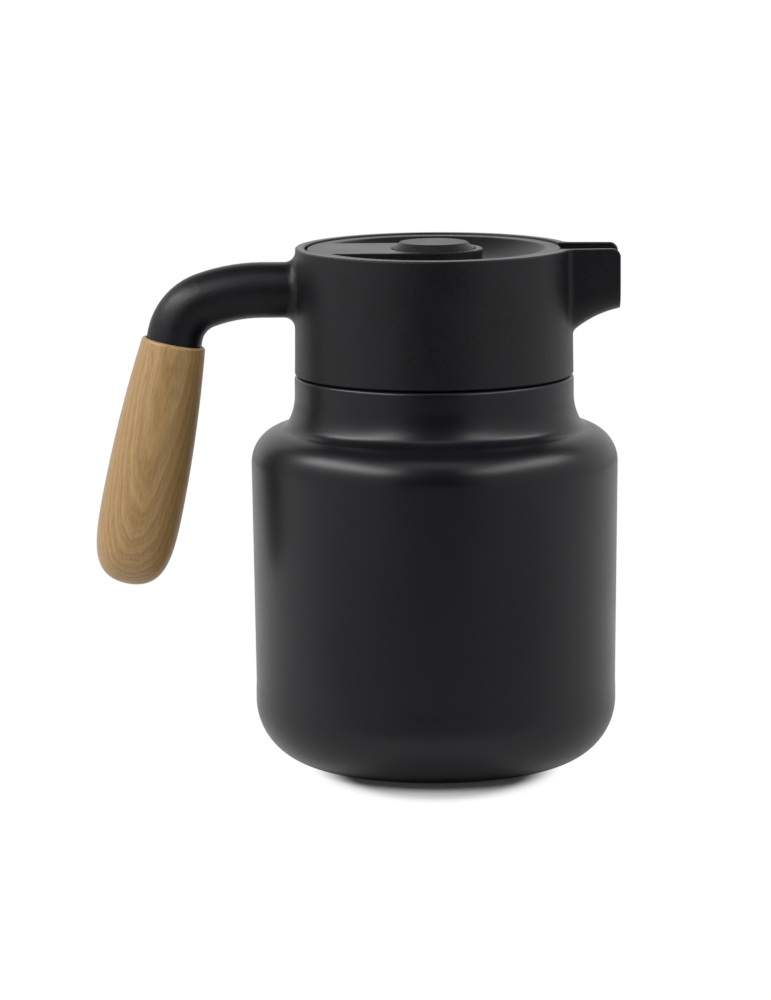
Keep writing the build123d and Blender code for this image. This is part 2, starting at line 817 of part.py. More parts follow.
pieces = [
    base_pad, base_cup, outer_shell, inner_flask, radiation_foil, getter_holder, getter, vacuum_seal,
    collar_gasket, collar, grip, grip_stud, grip_insert,
    stopper_seal,
    stopper_body, throat_tube, stopper_base, stopper_foam, valve_guide, stem_seal, button_spring, lid_cover,
    button, valve_stem, valve_disc, valve_seal, retaining_clip,
]

os.makedirs("parts", exist_ok=True)
for piece in pieces:
    name = piece.__name__
    export_step(piece(), f"parts/{name}.step")
    print("made", name)
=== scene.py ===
import math

import bmesh
import bpy
from mathutils import Matrix, Vector


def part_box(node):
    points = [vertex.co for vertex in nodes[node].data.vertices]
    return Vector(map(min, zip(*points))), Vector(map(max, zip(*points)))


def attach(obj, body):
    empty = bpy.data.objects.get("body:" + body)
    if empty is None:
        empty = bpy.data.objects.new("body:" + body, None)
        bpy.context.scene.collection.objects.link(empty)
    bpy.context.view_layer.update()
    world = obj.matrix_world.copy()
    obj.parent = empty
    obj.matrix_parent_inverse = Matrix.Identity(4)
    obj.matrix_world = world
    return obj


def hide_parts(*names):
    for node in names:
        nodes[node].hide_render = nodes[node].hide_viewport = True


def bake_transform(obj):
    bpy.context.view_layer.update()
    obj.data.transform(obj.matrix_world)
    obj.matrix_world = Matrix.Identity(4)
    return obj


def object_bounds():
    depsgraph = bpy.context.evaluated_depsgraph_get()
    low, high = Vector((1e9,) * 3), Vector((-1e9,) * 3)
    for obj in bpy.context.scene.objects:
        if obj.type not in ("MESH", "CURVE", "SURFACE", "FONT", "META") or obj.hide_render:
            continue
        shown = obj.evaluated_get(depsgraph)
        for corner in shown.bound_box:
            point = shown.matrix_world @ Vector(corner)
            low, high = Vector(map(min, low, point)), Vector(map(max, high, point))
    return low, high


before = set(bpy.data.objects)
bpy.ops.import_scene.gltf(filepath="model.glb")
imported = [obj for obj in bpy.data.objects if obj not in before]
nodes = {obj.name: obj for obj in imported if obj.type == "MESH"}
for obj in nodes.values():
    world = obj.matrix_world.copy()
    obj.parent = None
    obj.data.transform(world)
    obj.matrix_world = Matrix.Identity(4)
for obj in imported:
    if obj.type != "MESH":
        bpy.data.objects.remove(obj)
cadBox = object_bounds()
mm = 0.001
print("loaded", len(nodes), "parts of the pitcher")


# Camera

photoView = {
    "aim": (-17.819 * mm, 0.0, 95.443 * mm),
    "distance": 1.8,
    "elevation": 9.127,            # degrees above the table
    "roll": -0.401,                # the picture leans a little
    "lens": 179.4,                 # millimetres, as the sensor
    "sensor": 36.0,
    "clip": (0.05, 60.0),
}


def placeCamera(view):
    lens = bpy.data.cameras.new("studioCamera")
    lens.lens = view["lens"]
    lens.sensor_width = view["sensor"]
    lens.clip_start, lens.clip_end = view["clip"]
    camera = bpy.data.objects.new("studioCamera", lens)
    bpy.context.scene.collection.objects.link(camera)
    turn = Matrix.Rotation(math.radians(90 - view["elevation"]), 4, "X")
    turn = turn @ Matrix.Rotation(math.radians(view["roll"]), 4, "Z")
    level = math.radians(view["elevation"])
    back = Vector((0, -math.cos(level), math.sin(level))) * view["distance"]
    camera.matrix_world = Matrix.Translation(Vector(view["aim"]) + back) @ turn
    bpy.context.scene.camera = camera


placeCamera(photoView)
print("camera placed")


# Materials: a small way to write node sums as plain arithmetic

noiseSpan = (0.35, 0.65)           # nearly all of a noise's values lie between these
widerSpan = (0.3, 0.7)             # for less contrast
levelSpan = (0.9, 0.99)            # how much a face looks up, from a slope to a level top


def tint(red, green, blue):
    # A colour as a picture shows it, 0 to 255, turned into the renderer's linear values.
    def linear(value):
        share = value / 255
        return share / 12.92 if share <= 0.04045 else ((share + 0.055) / 1.055) ** 2.4
    return (linear(red), linear(green), linear(blue), 1.0)


class Wire:
    # An output socket. Arithmetic on it adds Math nodes.
    def __init__(self, sheet, socket):
        self.sheet = sheet
        self.socket = socket

    def maths(self, operation, *values):
        return self.sheet.node("ShaderNodeMath", {"operation": operation}, dict(enumerate(values)))

    def __add__(self, other):
        return self.maths("ADD", self, other)

    __radd__ = __add__

    def __sub__(self, other):
        return self.maths("SUBTRACT", self, other)

    def __rsub__(self, other):
        return self.maths("SUBTRACT", other, self)

    def __mul__(self, other):
        return self.maths("MULTIPLY", self, other)

    __rmul__ = __mul__

    def __truediv__(self, other):
        return self.maths("DIVIDE", self, other)

    def __rtruediv__(self, other):
        return self.maths("DIVIDE", other, self)

    def __pow__(self, other):
        return self.maths("POWER", self, other)

    def __rpow__(self, other):
        return self.maths("POWER", other, self)

    def fraction(self):
        return self.maths("FRACT", self)


class Sheet:
    # The node sheet of one material or of the world.
    def __init__(self, tree):
        self.tree = tree
        tree.nodes.clear()

    def node(self, kind, settings=None, inputs=None, output=0):
        # Settings come first, because some of them change what the sockets are.
        made = self.tree.nodes.new(kind)
        for name, value in (settings or {}).items():
            if name == "stops":
                self.setStops(made.color_ramp, value)
            else:
                setattr(made, name, value)
        for name, value in (inputs or {}).items():
            if isinstance(value, Wire):
                self.tree.links.new(value.socket, made.inputs[name])
            else:
                made.inputs[name].default_value = value
        return Wire(self, made.outputs[output]) if made.outputs else made

    def setStops(self, ramp, stops):
        while len(ramp.elements) < len(stops):
            ramp.elements.new(0.5)
        for element, (place, colour) in zip(ramp.elements, stops):
            element.position = place
            element.color = colour

    def place(self):
        return self.node("ShaderNodeTexCoord", output="Object")

    def parts(self, vector):
        split = self.node("ShaderNodeSeparateXYZ", inputs={0: vector})
        outputs = split.socket.node.outputs
        return [Wire(self, outputs[axis]) for axis in ("X", "Y", "Z")]

    def stretched(self, vector, scale):
        return self.node("ShaderNodeVectorMath", {"operation": "MULTIPLY"}, {0: vector, 1: scale})

    def noise(self, vector, scale, detail=2.0, roughness=0.5):
        # The scale is in features per metre.
        inputs = {"Vector": vector, "Scale": scale, "Detail": detail, "Roughness": roughness}
        return self.node("ShaderNodeTexNoise", inputs=inputs)

    def blended(self, fine, coarse, share):
        # This share of the fine noise, and the rest from the coarse one.
        return fine * share + coarse * (1 - share)

    def between(self, value, span, new=(0.0, 1.0), kind="LINEAR"):
        inputs = {0: value, 1: span[0], 2: span[1], 3: new[0], 4: new[1]}
        return self.node("ShaderNodeMapRange", {"clamp": True, "interpolation_type": kind}, inputs)

    def levelled(self):
        # 1 on a face that lies level and looks up, 0 on a wall.
        normal = self.node("ShaderNodeNewGeometry", output="Normal")
        return self.between(self.parts(normal)[2], levelSpan)

    def mixed(self, share, first, second):
        # The node has sockets for every kind of value. Two colours go into 6 and 7 and come out of 2.
        inputs = {0: share, 6: first, 7: second}
        return self.node("ShaderNodeMix", {"data_type": "RGBA"}, inputs, output=2)

    def bump(self, height, distance, under=None):
        inputs = {"Height": height, "Distance": distance, "Strength": 1.0}
        if under:
            inputs["Normal"] = under
        return self.node("ShaderNodeBump", inputs=inputs)

    def surface(self, **inputs):
        # Base_Color stands for the socket Base Color, and so on.
        named = {name.replace("_", " "): value for name, value in inputs.items()}
        shader = self.node("ShaderNodeBsdfPrincipled", inputs=named)
        self.node("ShaderNodeOutputMaterial", inputs={"Surface": shader})


def newMaterial(name):
    material = bpy.data.materials.new(name)
    material.use_nodes = True
    return material, Sheet(material.node_tree)


# Powder coat on the steel: fine orange peel, a little uneven in gloss

powderCoat = {
    "dark": tint(9, 9, 13),
    "light": tint(13, 13, 18),
    "shine": 0.25,
    "gloss": (0.30, 0.36),
    "cloud": (45.0, 3.0),          # a noise's scale, detail and roughness
    "grain": (2600.0, 2.0),
    "peel": (900.0, 2.0),
    "grainInColour": 0.5,          # the rest is cloud
    "peelInGloss": 0.4,
    "grainHeight": 0.004 * mm,
    "peelHeight": 0.008 * mm,
}


def makePowderCoat(facts):
    material, sheet = newMaterial("powderCoat")
    place = sheet.place()
    cloud = sheet.noise(place, *facts["cloud"])
    grain = sheet.noise(place, *facts["grain"])
    peel = sheet.noise(place, *facts["peel"])
    pale = sheet.between(sheet.blended(grain, cloud, facts["grainInColour"]), noiseSpan)
    colour = sheet.mixed(pale, facts["dark"], facts["light"])
    rough = sheet.between(sheet.blended(peel, cloud, facts["peelInGloss"]), noiseSpan, facts["gloss"])
    relief = sheet.bump(peel, facts["peelHeight"])
    relief = sheet.bump(grain, facts["grainHeight"], relief)
    sheet.surface(Base_Color=colour, Roughness=rough, Normal=relief, Specular_IOR_Level=facts["shine"])
    return material


# Moulded plastics: a fine spark-eroded texture, and smoother level tops

collarPlastic = {
    "name": "collarPlastic",
    "dark": tint(2, 2, 4),
    "light": tint(12, 12, 17),
    "shine": 0.24,
    "gloss": (0.38, 0.46),
    "smoother": 0.1,               # taken off the roughness of level tops
    "cloud": (60.0, 3.0),
    "grain": (1150.0, 3.0, 0.6),
    "grainInColour": 0.7,
    "grainInGloss": 0.5,
    "grainHeight": 0.09 * mm,
}
lidPlastic = dict(
    collarPlastic, name="lidPlastic", dark=tint(9, 9, 10), light=tint(22, 22, 23), smoother=0.07
)
buttonPlastic = dict(
    collarPlastic, name="buttonPlastic", dark=tint(14, 14, 17), light=tint(29, 29, 32), smoother=0.02
)
innerPlastic = dict(
    collarPlastic, name="innerPlastic", dark=tint(44, 45, 47), light=tint(54, 55, 57),
    grainHeight=0.015 * mm,
)


def makeMoulded(facts):
    material, sheet = newMaterial(facts["name"])
    place = sheet.place()
    cloud = sheet.noise(place, *facts["cloud"])
    grain = sheet.noise(place, *facts["grain"])
    pale = sheet.between(sheet.blended(grain, cloud, facts["grainInColour"]), noiseSpan)
    colour = sheet.mixed(pale, facts["dark"], facts["light"])
    rough = sheet.between(sheet.blended(grain, cloud, facts["grainInGloss"]), noiseSpan, facts["gloss"])
    rough = rough - sheet.levelled() * facts["smoother"]
    relief = sheet.bump(grain, facts["grainHeight"])
    sheet.surface(Base_Color=colour, Roughness=rough, Normal=relief, Specular_IOR_Level=facts["shine"])
    return material


# The grip's own frame

gripPlace = {
    "top": Vector((-93.442, 0.0, 153.580)) * mm,
    "tilt": 11.6,                  # degrees from upright, its lower end away from the flask
}


def frameOfGrip(facts):
    # z runs down its axis from the middle of its top, y to the spout, x to the back.
    tilt = math.radians(facts["tilt"])
    down = Vector((-math.sin(tilt), 0, -math.cos(tilt)))
    right = Vector((math.cos(tilt), 0, -math.sin(tilt)))
    turn = Matrix((Vector((0, 1, 0)), right, down)).transposed().to_4x4()
    return Matrix.Translation(facts["top"]) @ turn


gripFrame = frameOfGrip(gripPlace)


# Wood of the grip

gripWood = {
    "pale": tint(168, 135, 86),
    "dark": tint(110, 82, 44),
    "tones": [0.55, 0.6, 0.7, 0.85, 0.35, 0.0, 0.3, 0.5],   # darkness across one growth ring
    "ring": 1.45 * mm,             # width of a growth ring
    "pithBack": 46.0 * mm,         # heart of the tree, behind the grip
    "lean": 0.11,                  # how fast it comes nearer towards the round end
    "warp": {"along": 0.35, "noise": (60.0, 2.0), "reach": 1.3 * mm},
    "wobble": {"along": 0.2, "noise": (260.0, 3.0), "reach": 0.35 * mm},
    "fibre": {"along": 0.035, "noise": (1900.0, 3.0, 0.6), "share": 0.28},
    "mottle": {"along": 0.3, "noise": (1500.0, 2.0), "share": 0.12},
    "broadShare": 0.36,            # of the darkness, from the growth rings
    "narrowShare": 0.24,           # and from narrower lines among them
    "narrowLines": 2.7,            # narrow lines for each ring
    "narrowDrift": 2.0,            # how far the wobble shifts them, in lines
    "fibreHeight": 0.02 * mm,
    "gloss": (0.42, 0.55),
    "oil": 0.12,                   # weight of a thin coat over the wood
    "oilGloss": 0.3,
}


def drawnOut(sheet, place, facts):
    # A noise whose features are longer along the grip's axis than across it.
    return sheet.noise(sheet.stretched(place, (1.0, 1.0, facts["along"])), *facts["noise"])


def makeGripWood(facts):
    material, sheet = newMaterial("gripWood")
    place = sheet.node("ShaderNodeMapping", {"vector_type": "TEXTURE"}, {
        "Vector": sheet.place(), "Location": gripFrame.translation, "Rotation": gripFrame.to_euler(),
    })
    x, y, z = sheet.parts(place)
    warp = drawnOut(sheet, place, facts["warp"])
    wobble = drawnOut(sheet, place, facts["wobble"])
    fibre = drawnOut(sheet, place, facts["fibre"])
    mottle = drawnOut(sheet, place, facts["mottle"])
    back = x - facts["pithBack"] + z * facts["lean"]
    reach = (back * back + y * y) ** 0.5
    reach = reach + (warp - 0.5) * (2 * facts["warp"]["reach"])
    reach = reach + (wobble - 0.5) * (2 * facts["wobble"]["reach"])
    rings = reach / facts["ring"]
    lines = rings * facts["narrowLines"] + wobble * facts["narrowDrift"]
    last = len(facts["tones"]) - 1
    stops = [(step / last, (tone, tone, tone, 1.0)) for step, tone in enumerate(facts["tones"])]
    broad = sheet.node("ShaderNodeValToRGB", {"stops": stops}, {0: rings.fraction()})
    narrow = sheet.node("ShaderNodeValToRGB", {"stops": stops}, {0: lines.fraction()})
    darkness = broad * facts["broadShare"] + narrow * facts["narrowShare"]
    darkness = darkness + sheet.between(fibre, widerSpan) * facts["fibre"]["share"]
    darkness = darkness + sheet.between(mottle, noiseSpan) * facts["mottle"]["share"]
    sheet.surface(
        Base_Color=sheet.mixed(darkness, facts["pale"], facts["dark"]),
        Roughness=sheet.between(fibre, widerSpan, facts["gloss"]),
        Normal=sheet.bump(fibre, facts["fibreHeight"]),
        Coat_Weight=facts["oil"],
        Coat_Roughness=facts["oilGloss"],
    )
    return material


# Metals

flaskSteel = {
    "name": "flaskSteel",
    "dark": tint(186, 186, 184),
    "light": tint(206, 206, 204),
    "gloss": (0.20, 0.34),
    "stretch": (1.0, 1.0, 22.0),   # its fine lines run round the axis
    "lines": (240.0, 3.0, 0.6),
    "cloud": (70.0, 2.0),
    "linesInColour": 0.5,
    "lineHeight": 0.004 * mm,
}
fastenerSteel = dict(
    flaskSteel, name="fastenerSteel", dark=tint(150, 151, 152), light=tint(178, 178, 178),
    gloss=(0.28, 0.42),
)
springSteel = dict(flaskSteel, name="springSteel", dark=tint(140, 141, 143), light=tint(170, 170, 172))
brass = dict(flaskSteel, name="brass", dark=tint(190, 150, 78), light=tint(214, 178, 104))
getterMetal = dict(
    flaskSteel, name="getterMetal", dark=tint(92, 90, 88), light=tint(122, 120, 116), gloss=(0.5, 0.7)
)
foil = dict(
    flaskSteel, name="foil", dark=tint(212, 213, 215), light=tint(228, 229, 231),
    stretch=(1.0, 1.0, 1.0), lines=(120.0, 3.0, 0.6), lineHeight=0.2 * mm,
)


def makeMetal(facts):
    material, sheet = newMaterial(facts["name"])
    place = sheet.place()
    lines = sheet.noise(sheet.stretched(place, facts["stretch"]), *facts["lines"])
    cloud = sheet.noise(place, *facts["cloud"])
    pale = sheet.between(sheet.blended(lines, cloud, facts["linesInColour"]), noiseSpan)
    colour = sheet.mixed(pale, facts["dark"], facts["light"])
    rough = sheet.between(lines, widerSpan, facts["gloss"])
    relief = sheet.bump(lines, facts["lineHeight"])
    sheet.surface(Base_Color=colour, Roughness=rough, Metallic=1.0, Normal=relief)
    return material


# Rubber, glass bead and foam

padSilicone = {
    "name": "padSilicone",
    "dark": tint(34, 34, 35),
    "light": tint(44, 44, 45),
    "gloss": (0.62, 0.75),
    "grain": (1400.0, 3.0),
    "cloud": (90.0, 2.0),
    "grainInColour": 0.5,
    "grainHeight": 0.02 * mm,
}
sealSilicone = dict(padSilicone, name="sealSilicone", dark=tint(176, 178, 178), light=tint(196, 198, 197))
sealGlass = dict(
    padSilicone, name="sealGlass", dark=tint(150, 140, 120), light=tint(168, 158, 138), gloss=(0.1, 0.2)
)
foam = dict(
    padSilicone, name="foam", dark=tint(206, 190, 140), light=tint(228, 214, 168),
    grain=(900.0, 3.0), gloss=(0.85, 0.95),
)


def makeSoft(facts):
    material, sheet = newMaterial(facts["name"])
    place = sheet.place()
    grain = sheet.noise(place, *facts["grain"])
    cloud = sheet.noise(place, *facts["cloud"])
    pale = sheet.between(sheet.blended(grain, cloud, facts["grainInColour"]), noiseSpan)
    colour = sheet.mixed(pale, facts["dark"], facts["light"])
    rough = sheet.between(grain, widerSpan, facts["gloss"])
    sheet.surface(Base_Color=colour, Roughness=rough, Normal=sheet.bump(grain, facts["grainHeight"]))
    return material


finishes = {
    "powder_coat": makePowderCoat(powderCoat),
    "collar_plastic": makeMoulded(collarPlastic),
    "lid_plastic": makeMoulded(lidPlastic),
    "button_plastic": makeMoulded(buttonPlastic),
    "inner_plastic": makeMoulded(innerPlastic),
    "grip_wood": makeGripWood(gripWood),
    "flask_steel": makeMetal(flaskSteel),
    "fastener_steel": makeMetal(fastenerSteel),
    "spring_steel": makeMetal(springSteel),
    "brass": makeMetal(brass),
    "getter_metal": makeMetal(getterMetal),
    "foil": makeMetal(foil),
    "pad_silicone": makeSoft(padSilicone),
    "seal_silicone": makeSoft(sealSilicone),
    "seal_glass": makeSoft(sealGlass),
    "foam": makeSoft(foam),
}
for part in nodes.values():        # each part has one slot, named in the record
    slot = part.data.materials[0].name
    part.data.materials[0] = finishes[slot]
print("finished", len(finishes), "materials")


# Turned pieces: a closed section of points (radius, height), turned about z

sharpFrom = 35.0                   # degrees between two faces


def arcPoint(centre, radius, angle):
    # The angle is in degrees, from the level.
    turn = math.radians(angle)
    return (centre[0] + radius * math.cos(turn), centre[1] + radius * math.sin(turn))


def arcPoints(centre, radius, start, end, steps):
    return [arcPoint(centre, radius, start + (end - start) * step / steps) for step in range(steps + 1)]


def curvePoints(corners, steps):
    # A cubic curve from its four control points.
    points = []
    for step in range(steps + 1):
        gone = step / steps
        left = 1 - gone
        weights = (left ** 3, 3 * gone * left ** 2, 3 * gone * gone * left, gone ** 3)
        pairs = list(zip(weights, corners))
        points.append(tuple(sum(weight * corner[axis] for weight, corner in pairs) for axis in (0, 1)))
    return points


def newPiece(name, shape, slot):
    bmesh.ops.recalc_face_normals(shape, faces=shape.faces)
    mesh = bpy.data.meshes.new(name)
    shape.to_mesh(mesh)
    shape.free()
    mesh.shade_smooth()
    mesh.set_sharp_from_angle(angle=math.radians(sharpFrom))
    mesh.materials.append(finishes[slot])
    piece = bpy.data.objects.new(name, mesh)
    bpy.context.scene.collection.objects.link(piece)
    return piece


def turnedPiece(name, outline, slot, around=224):
    # A point with no radius lies on the axis.
    shape = bmesh.new()
    turns = [2 * math.pi * step / around for step in range(around)]
    rings = []
    for radius, height in outline:
        if radius == 0:
            rings.append([shape.verts.new((0, 0, height))] * around)
        else:
            places = [(radius * math.cos(turn), radius * math.sin(turn), height) for turn in turns]
            rings.append([shape.verts.new(place) for place in places])
    for lower, upper in zip(rings, rings[1:] + rings[:1]):
        for here in range(around):
            there = (here + 1) % around
            corners = list(dict.fromkeys([lower[here], lower[there], upper[there], upper[here]]))
            if len(corners) > 2:           # a face at the axis has three, and none lies along it
                shape.faces.new(corners)
    return newPiece(name, shape, slot)


# Steel shell and base cup: welded and dressed flush, so no line shows between them

shellLow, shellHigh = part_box("outer_shell")
cupLow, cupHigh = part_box("base_cup")
steelBody = {
    "wall": 0.8 * mm,
    "taper": 1.0 * mm,             # narrower at the weld than at the shoulder
    "dressed": 4.0 * mm,           # height over which the weld is dressed flush with the cup
    "shoulder": 12.9 * mm,         # radii of the arcs from the wall up to the neck
    "fillet": 5.0 * mm,
    "flare": 20.0 * mm,
    "flareTurn": 27.0,             # degrees
    "neckRadius": 50.2 * mm,
    "neckStart": 134.06 * mm,
    "ledge": 141.3 * mm,
    "ledgeRound": 1.4 * mm,
    "sleeveRadius": 46.8 * mm,
    "bead": 149.0 * mm,
    "beadProud": 0.7 * mm,
    "wallRows": 32,
    "rowCrowding": 1.6,            # over 1, rows lie closer towards the weld
    "shoulderSteps": 32,
    "flareSteps": 14,
    "neckRows": 4,
    "roundSteps": 8,
}


def shoulderPoints(facts, depth):
    # From the top of the straight wall to the foot of the straight neck, this deep under the outer face.
    shoulder, fillet, flare = facts["shoulder"], facts["fillet"], facts["flare"]
    flareCentre = (facts["neckRadius"] + flare, facts["neckStart"])
    turn = 180 + facts["flareTurn"]
    filletCentre = arcPoint(flareCentre, flare - fillet, turn)
    across = filletCentre[0] - shellHigh.x + shoulder
    foot = filletCentre[1] - math.sqrt((shoulder + fillet) ** 2 - across ** 2)
    meet = math.degrees(math.atan2(filletCentre[1] - foot, across))
    crownCentre = (shellHigh.x - shoulder, foot)
    crown = arcPoints(crownCentre, shoulder - depth, 0, meet, facts["shoulderSteps"])
    hollow = arcPoints(filletCentre, fillet + depth, meet + 180, turn, facts["flareSteps"])
    rise = arcPoints(flareCentre, flare + depth, turn, 180, facts["flareSteps"])
    return crown + hollow[1:] + rise[1:]


def sidePoints(facts, top):
    # The tapered wall from the weld up to its top.
    points = []
    height = top - shellLow.z
    flush = cupHigh.x - shellHigh.x + facts["taper"]
    for row in range(facts["wallRows"]):
        up = (row / facts["wallRows"]) ** facts["rowCrowding"]
        share = min(1.0, up * height / facts["dressed"])
        proud = flush * (1 - share * share * (3 - 2 * share))      # fades in and out smoothly
        points.append((shellHigh.x - facts["taper"] * (1 - up) + proud, shellLow.z + up * height))
    return points


def makeSteelShell(facts):
    wall, sleeve, ledge = facts["wall"], facts["sleeveRadius"], facts["ledge"]
    neck, start, rows = facts["neckRadius"], facts["neckStart"], facts["neckRows"]
    edge, steps = facts["ledgeRound"], facts["roundSteps"]
    cap = ledge - edge
    outside = shoulderPoints(facts, 0)
    outline = sidePoints(facts, outside[0][1]) + outside
    outline += [(neck, start + (cap - start) * row / rows) for row in range(1, rows)]
    outline += arcPoints((neck - edge, cap), edge, 0, 90, steps)
    outline += [(sleeve, ledge)] + arcPoints((sleeve, facts["bead"]), facts["beadProud"], -90, 90, steps)
    outline += [(sleeve, shellHigh.z), (sleeve - wall, shellHigh.z), (sleeve - wall, ledge - wall)]
    outline += [(neck - wall, ledge - wall)] + shoulderPoints(facts, wall)[::-1]
    outline.append((cupHigh.x - wall, shellLow.z))
    piece = turnedPiece("steelShell", outline, "powder_coat")
    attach(piece, "root")
    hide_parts("outer_shell")


steelCup = {
    "corner": 23.0 * mm,           # radius between wall and foot
    "recess": 38.3 * mm,           # radius of the pad's recess
    "recessTop": 2.3 * mm,
    "recessEdge": 0.4 * mm,
    "dimple": 8.0 * mm,
    "dimpleDepth": 1.5 * mm,
    "vent": 1.2 * mm,
    "wallRows": 4,
    "cornerSteps": 44,
    "insideSteps": 24,
    "edgeSteps": 5,
}


def makeSteelCup(facts, wall):
    corner = (cupHigh.x - facts["corner"], cupLow.z + facts["corner"])
    recess, edge, dimple = facts["recess"], facts["recessEdge"], facts["dimple"]
    top, vent, rows = facts["recessTop"], facts["vent"], facts["wallRows"]
    high = top + facts["dimpleDepth"]
    outline = [(cupHigh.x, cupHigh.z + (corner[1] - cupHigh.z) * row / rows) for row in range(rows)]
    outline += arcPoints(corner, facts["corner"], 0, -90, facts["cornerSteps"])
    outline += arcPoints((recess + edge, cupLow.z + edge), edge, -90, -180, facts["edgeSteps"])
    outline += [(recess, top), (dimple, top), (dimple, high), (vent, high)]
    outline += [(vent, high + wall), (dimple + wall, high + wall), (dimple + wall, top + wall)]
    outline += [(recess + wall, top + wall), (recess + wall, cupLow.z + wall)]
    outline += arcPoints(corner, facts["corner"] - wall, -90, 0, facts["insideSteps"])
    outline.append((cupHigh.x - wall, cupHigh.z))
    piece = turnedPiece("steelCup", outline, "powder_coat")
    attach(piece, "root")
    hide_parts("base_cup")


makeSteelShell(steelBody)
makeSteelCup(steelCup, steelBody["wall"])
print("steel shell and cup turned")


# Silicone pad under the base, with shallow rings for grip

footPad = {
    "edge": 0.4 * mm,
    "rings": 6,
    "firstRing": 12.0 * mm,
    "ringStep": 4.2 * mm,
    "groove": 0.5 * mm,            # radius of a ring's round groove
    "grooveSteps": 6,
    "edgeSteps": 5,
    "around": 128,
}


def makeFootPad(facts):
    low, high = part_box("base_pad")
    edge = facts["edge"]
    outline = [(0, low.z)]
    for number in range(facts["rings"]):
        middle = facts["firstRing"] + number * facts["ringStep"]
        outline += arcPoints((middle, low.z), facts["groove"], 180, 0, facts["grooveSteps"])
    outline += arcPoints((high.x - edge, low.z + edge), edge, -90, 0, facts["edgeSteps"])
    outline += [(high.x, high.z), (0, high.z)]
    piece = turnedPiece("footPad", outline, "pad_silicone", facts["around"])
    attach(piece, "root")
    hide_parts("base_pad")


makeFootPad(footPad)
print("pad turned")


# Wooden grip

woodGrip = {
    "length": 89.6 * mm,
    "topRadius": 11.6 * mm,
    "swell": 3.2 * mm,             # thickest radius over the top's radius
    "swellDepth": 59.0 * mm,
    "lip": 1.2 * mm,
    "runOn": 19.6 * mm,            # how far the side runs on before it turns into the end
    "endRadius": 13.5 * mm,
    "bore": [                      # radius and depth of its steps, from the closed end
        (3.2 * mm, 51.2 * mm), (4.5 * mm, 48.5 * mm), (7.2 * mm, 30.5 * mm), (10.3 * mm, 3.0 * mm),
    ],
    "lipSteps": 8,
    "sideSteps": 24,
    "endSteps": 36,
    "around": 160,
}


def makeWoodGrip(facts):
    # In the grip's own frame, so heights are depths below its top.
    widest = facts["topRadius"] + facts["swell"]
    lip, middle, length, bore = facts["lip"], facts["swellDepth"], facts["length"], facts["bore"]
    rise = middle - lip
    sideRadius = (rise ** 2 + facts["swell"] ** 2) / (2 * facts["swell"])
    start = -math.degrees(math.asin(rise / sideRadius))
    outline = arcPoints((facts["topRadius"] - lip, lip), lip, -90, 0, facts["lipSteps"])
    outline += arcPoints((widest - sideRadius, middle), sideRadius, start, 0, facts["sideSteps"])[1:]
    corners = [(widest, middle), (widest, middle + facts["runOn"])]
    corners += [(facts["endRadius"], length), (0, length)]
    outline += curvePoints(corners, facts["endSteps"])[1:]
    outline.append((0, bore[0][1]))
    for (radius, depth), (_, end) in zip(bore, bore[1:] + [(0, 0)]):
        outline += [(radius, depth), (radius, end)]
    piece = turnedPiece("woodGrip", outline, "grip_wood", facts["around"])
    piece.data.transform(gripFrame)
    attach(piece, "root")
    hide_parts("grip")


makeWoodGrip(woodGrip)
print("grip turned")


# Spring under the button, with closer turns at both ends.

valveSpring = {
    "radius": 8.4 * mm,
    "wire": 0.5 * mm,              # radius of the wire
    "turns": 6,
    "closing": 0.5,                # pitch at the ends over the mean pitch
    "stepsRound": 40,
    "sides": 10,
}


def makeValveSpring(facts):
    low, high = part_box("button_spring")
    bottom, top = low.z + facts["wire"], high.z - facts["wire"]
    steps = facts["turns"] * facts["stepsRound"]
    sides = facts["sides"]
    angles = [2 * math.pi * side / sides for side in range(sides)]
    up = Vector((0, 0, 1))
    shape = bmesh.new()
    rings = []
    for step in range(steps + 1):
        share = step / steps
        turn = 2 * math.pi * facts["turns"] * share
        rise = share - (1 - facts["closing"]) * math.sin(2 * math.pi * share) / (2 * math.pi)
        out = Vector((math.cos(turn), math.sin(turn), 0))
        middle = out * facts["radius"] + up * (bottom + rise * (top - bottom))
        ways = [out * math.cos(angle) + up * math.sin(angle) for angle in angles]
        rings.append([shape.verts.new(middle + way * facts["wire"]) for way in ways])
    for first, second in zip(rings, rings[1:]):
        for side in range(sides):
            after = (side + 1) % sides
            shape.faces.new([first[side], first[after], second[after], second[side]])
    shape.faces.new(rings[0])
    shape.faces.new(rings[-1][::-1])
    piece = newPiece("valveSpring", shape, "spring_steel")
    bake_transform(piece)
    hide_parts("button_spring")


makeValveSpring(valveSpring)
print("spring wound")


# Studio

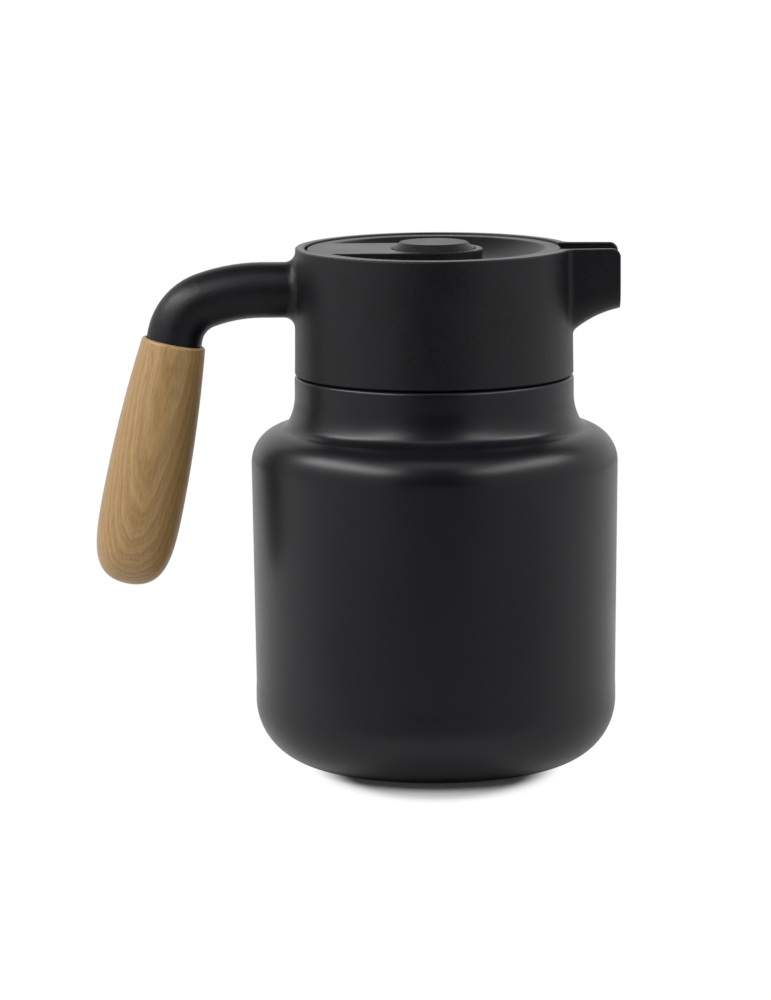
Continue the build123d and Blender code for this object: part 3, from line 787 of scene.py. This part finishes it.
studio = {
    "white": (1.0, 1.0, 1.0, 1.0),
    "air": (0.40, 0.40, 0.41, 1.0),
}
floor = {
    "size": 6.0,
    "colour": (0.82, 0.82, 0.82, 1.0),
    # painted shade: the floor's darker colour inside the shadow distance
    "paintedShade": (0.42, 0.42, 0.42, 1.0),
    "matt": 0.9,                   # roughness
    "shadow": (63 * mm, 84 * mm),  # painted shadow, whole inside the first distance, and gone past the second
    "shadowGlow": 0.025,           # share of the floor's white that shows in the whole shadow
    "across": 1.8,                 # how many times shorter the painted shadow is at the sides
    "mirrored": 0.28,              # how white a reflection sees it
}
sideBox = {"elevation": 43, "distance": 1.5, "width": 1.7, "height": 0.38}
softboxes = {
    "leftBox": dict(sideBox, azimuth=-68, watts=30.0),
    "rightBox": dict(sideBox, azimuth=68, watts=19.0),
    "frontBox": dict(sideBox, azimuth=0, watts=3.3, elevation=64, width=1.2, height=0.5),
}
cards = {                          # for the pitcher to mirror, and never in the picture themselves
    "nearCard": {"x": 0.45, "y": (-0.75, -0.105), "z": (0.001, 0.001), "grey": 0.45},
    "frontCard": {"x": 0.45, "y": (-3.0, -0.75), "z": (0.001, 0.001), "grey": 0.02},
    "wallCard": {"x": 1.5, "y": (-3.0, -3.0), "z": (0.0, 1.7), "grey": 0.02},
    "ceilingCard": {"x": 2.5, "y": (-3.0, 1.5), "z": (1.7, 1.7), "grey": 0.02},
}


def seenDirectly(sheet, mirrored=1.0):
    # 1 for what the camera or clear glass sees of the studio, and this share for what a reflection sees.
    path = sheet.node("ShaderNodeLightPath", output="Is Camera Ray")
    rays = path.socket.node.outputs
    seen = path.maths("MAXIMUM", path, Wire(sheet, rays["Is Glossy Ray"]) * mirrored)
    return seen.maths("MAXIMUM", seen, Wire(sheet, rays["Is Transmission Ray"]))


def makeWorld(facts):
    world = bpy.data.worlds.new("studioAir")
    world.use_nodes = True
    bpy.context.scene.world = world
    sheet = Sheet(world.node_tree)
    colour = sheet.mixed(seenDirectly(sheet), facts["air"], facts["white"])
    shader = sheet.node("ShaderNodeBackground", inputs={"Color": colour})
    sheet.node("ShaderNodeOutputWorld", inputs={"Surface": shader})


def stageSheet(name, corners, material):
    mesh = bpy.data.meshes.new(name)
    mesh.from_pydata(corners, [], [(0, 1, 2, 3)])
    mesh.materials.append(material)
    made = bpy.data.objects.new(name, mesh)
    bpy.context.scene.collection.objects.link(made)
    return made


def makeFloor(facts, white):
    half = facts["size"] / 2
    material, sheet = newMaterial("studioFloor")
    x, y, _ = sheet.parts(sheet.place())
    side = x * facts["across"]
    reach = (side * side + y * y) ** 0.5
    # Painted shadow: near the pitcher the floor's colour darkens to a painted shade and its white glow
    # fades out, and farther off the glow whitens over the real shadow.
    paintedShadowMask = sheet.between(reach, facts["shadow"], (facts["shadowGlow"], 1.0), "SMOOTHSTEP")
    colour = sheet.mixed(paintedShadowMask, facts["paintedShade"], facts["colour"])
    lit = sheet.node("ShaderNodeBsdfPrincipled", inputs={"Base Color": colour, "Roughness": facts["matt"]})
    glow = sheet.node("ShaderNodeEmission", inputs={"Color": white})
    share = paintedShadowMask * seenDirectly(sheet, facts["mirrored"])
    whole = sheet.node("ShaderNodeMixShader", inputs={0: share, 1: lit, 2: glow})
    sheet.node("ShaderNodeOutputMaterial", inputs={"Surface": whole})
    corners = [(-half, -half, 0), (half, -half, 0), (half, half, 0), (-half, half, 0)]
    stageSheet("studioFloor", corners, material)


def makeCard(name, facts):
    material, sheet = newMaterial(name)
    grey = facts["grey"]
    sheet.surface(Base_Color=(grey, grey, grey, 1.0), Roughness=1.0, Specular_IOR_Level=0.0)
    x, (front, back), (low, high) = facts["x"], facts["y"], facts["z"]
    corners = [(-x, front, low), (x, front, low), (x, back, high), (-x, back, high)]
    card = stageSheet(name, corners, material)
    card.visible_camera = False


def placeSoftbox(name, facts):
    light = bpy.data.lights.new(name, "AREA")
    light.shape = "RECTANGLE"
    light.size = facts["width"]
    light.size_y = facts["height"]
    light.energy = facts["watts"]
    lamp = bpy.data.objects.new(name, light)
    bpy.context.scene.collection.objects.link(lamp)
    around = math.radians(facts["azimuth"])
    up = math.radians(facts["elevation"])
    way = Vector((math.sin(around) * math.cos(up), -math.cos(around) * math.cos(up), math.sin(up)))
    middle = (cadBox[0] + cadBox[1]) / 2
    lamp.location = middle + way * facts["distance"]
    lamp.rotation_mode = "QUATERNION"
    lamp.rotation_quaternion = way.to_track_quat("Z", "Y")


makeWorld(studio)
makeFloor(floor, studio["white"])
for name, facts in cards.items():
    makeCard(name, facts)
for name, facts in softboxes.items():
    placeSoftbox(name, facts)
bpy.context.scene.view_settings.view_transform = "Standard"
print("studio lit")
